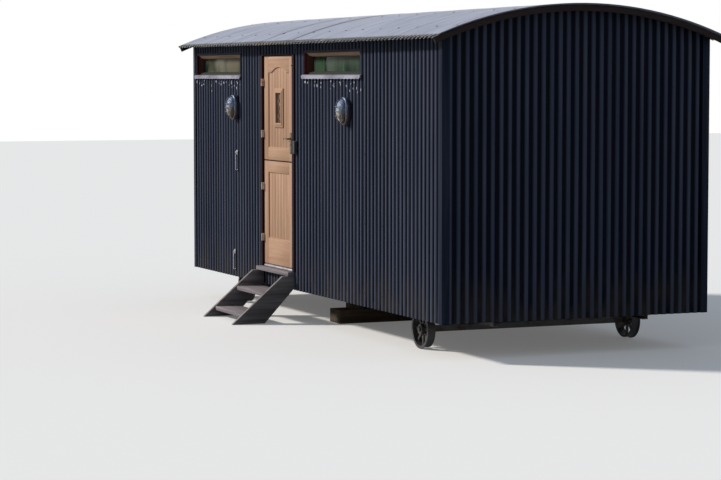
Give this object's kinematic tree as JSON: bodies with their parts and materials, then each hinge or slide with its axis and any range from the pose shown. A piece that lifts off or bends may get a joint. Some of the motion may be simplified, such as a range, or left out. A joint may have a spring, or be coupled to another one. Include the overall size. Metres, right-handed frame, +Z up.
{
  "type": "shepherds hut",
  "caption": "Bow-roofed hut clad in dark corrugated sheet, with a two-leaf stable door, two high windows, wall lamps, timber steps and a low wheeled chassis.",
  "frame": {"origin": "middle of the underside of the timber bearer below the middle of the hut, at ground level", "axes": "+X along the hut towards the end wall nearest the picture's camera, +Y from the door side to the back, +Z up"},
  "size_m": [6.3246, 3.2278, 2.8813],
  "materials": {
    "chassis_steel": "dark primer paint, a little rust",
    "cast_wheel": "dark paint over casting",
    "sleeper": "rough weathered softwood",
    "framing": "sawn softwood and board",
    "floor": "planed boards",
    "wall_paint": "dark blue-grey paint on corrugated steel, satin",
    "trim_paint": "dark blue-grey paint on folded steel, satin",
    "galvanised": "weathered galvanised steel",
    "deck": "softwood boards",
    "verge_timber": "brown stained timber",
    "door_timber": "pale oiled timber",
    "frame_timber": "red-brown stained hardwood",
    "window_timber": "red-brown stained hardwood",
    "hinge_steel": "satin steel",
    "handle_brass": "worn brass",
    "clear_glass": "clear",
    "leaded_glass": "leaded",
    "key_box_case": "black case",
    "sill_metal": "dull grey dressed metal",
    "lamp_metal": "dull cast metal",
    "lamp_glass": "ribbed frosted",
    "step_timber": "grey weathered softwood"
  },
  "bodies": {
    "hut": {"chassis_beams": "chassis_steel", "axles": "chassis_steel", "wheels": "cast_wheel", "middle_bearer": "sleeper", "floor_joists": "framing", "floor_boards": "floor", "front_wall_left": "framing", "front_wall_right": "framing", "front_wall_over_door": "framing", "front_wall_under_door": "framing", "back_wall": "framing", "end_wall_left": "framing", "end_wall_right": "framing", "front_cladding": "wall_paint", "back_cladding": "wall_paint", "end_cladding_left": "wall_paint", "end_cladding_right": "wall_paint", "corner_trims": "trim_paint", "roof_boards": "deck", "roof_sheets_under": "galvanised", "roof_sheets_over": "galvanised", "verges": "verge_timber", "door_frame": "frame_timber", "door_sill": "sill_metal", "frame_hinges": "hinge_steel", "key_box": "key_box_case", "door_hooks": "hinge_steel", "window_frame_left": "window_timber", "window_frame_right": "window_timber", "window_sashes": "window_timber", "window_glass": "clear_glass", "window_sills": "sill_metal", "lamps": "lamp_metal", "lamp_glasses": "lamp_glass", "stringers": "step_timber", "treads": "step_timber", "top_board": "step_timber"},
    "upper_door": {"upper_leaf": "door_timber", "upper_leaf_hinges": "hinge_steel", "door_light_frame": "door_timber", "door_light_glass": "leaded_glass", "handle_plates": "handle_brass"},
    "lower_door": {"lower_leaf": "door_timber", "lower_leaf_hinges": "hinge_steel"},
    "lever": {"door_lever": "handle_brass"}
  },
  "joints": [
    {"name": "upper_door_hinge", "type": "hinge", "parent": "hut", "child": "upper_door", "pos_m": [-0.99825, -1.249, 1.9855], "axis": [0, 0, -1], "range_deg": [0, 170]},
    {"name": "lower_door_hinge", "type": "hinge", "parent": "hut", "child": "lower_door", "pos_m": [-0.99825, -1.249, 0.9925], "axis": [0, 0, -1], "range_deg": [0, 170]},
    {"name": "lever_turn", "type": "hinge", "parent": "upper_door", "child": "lever", "pos_m": [-0.294, -1.26, 1.7065], "axis": [0, -1, 0], "range_deg": [0, 35], "stiffness_Nm_per_rad": 2, "springref_deg": -8.59}
  ]
}
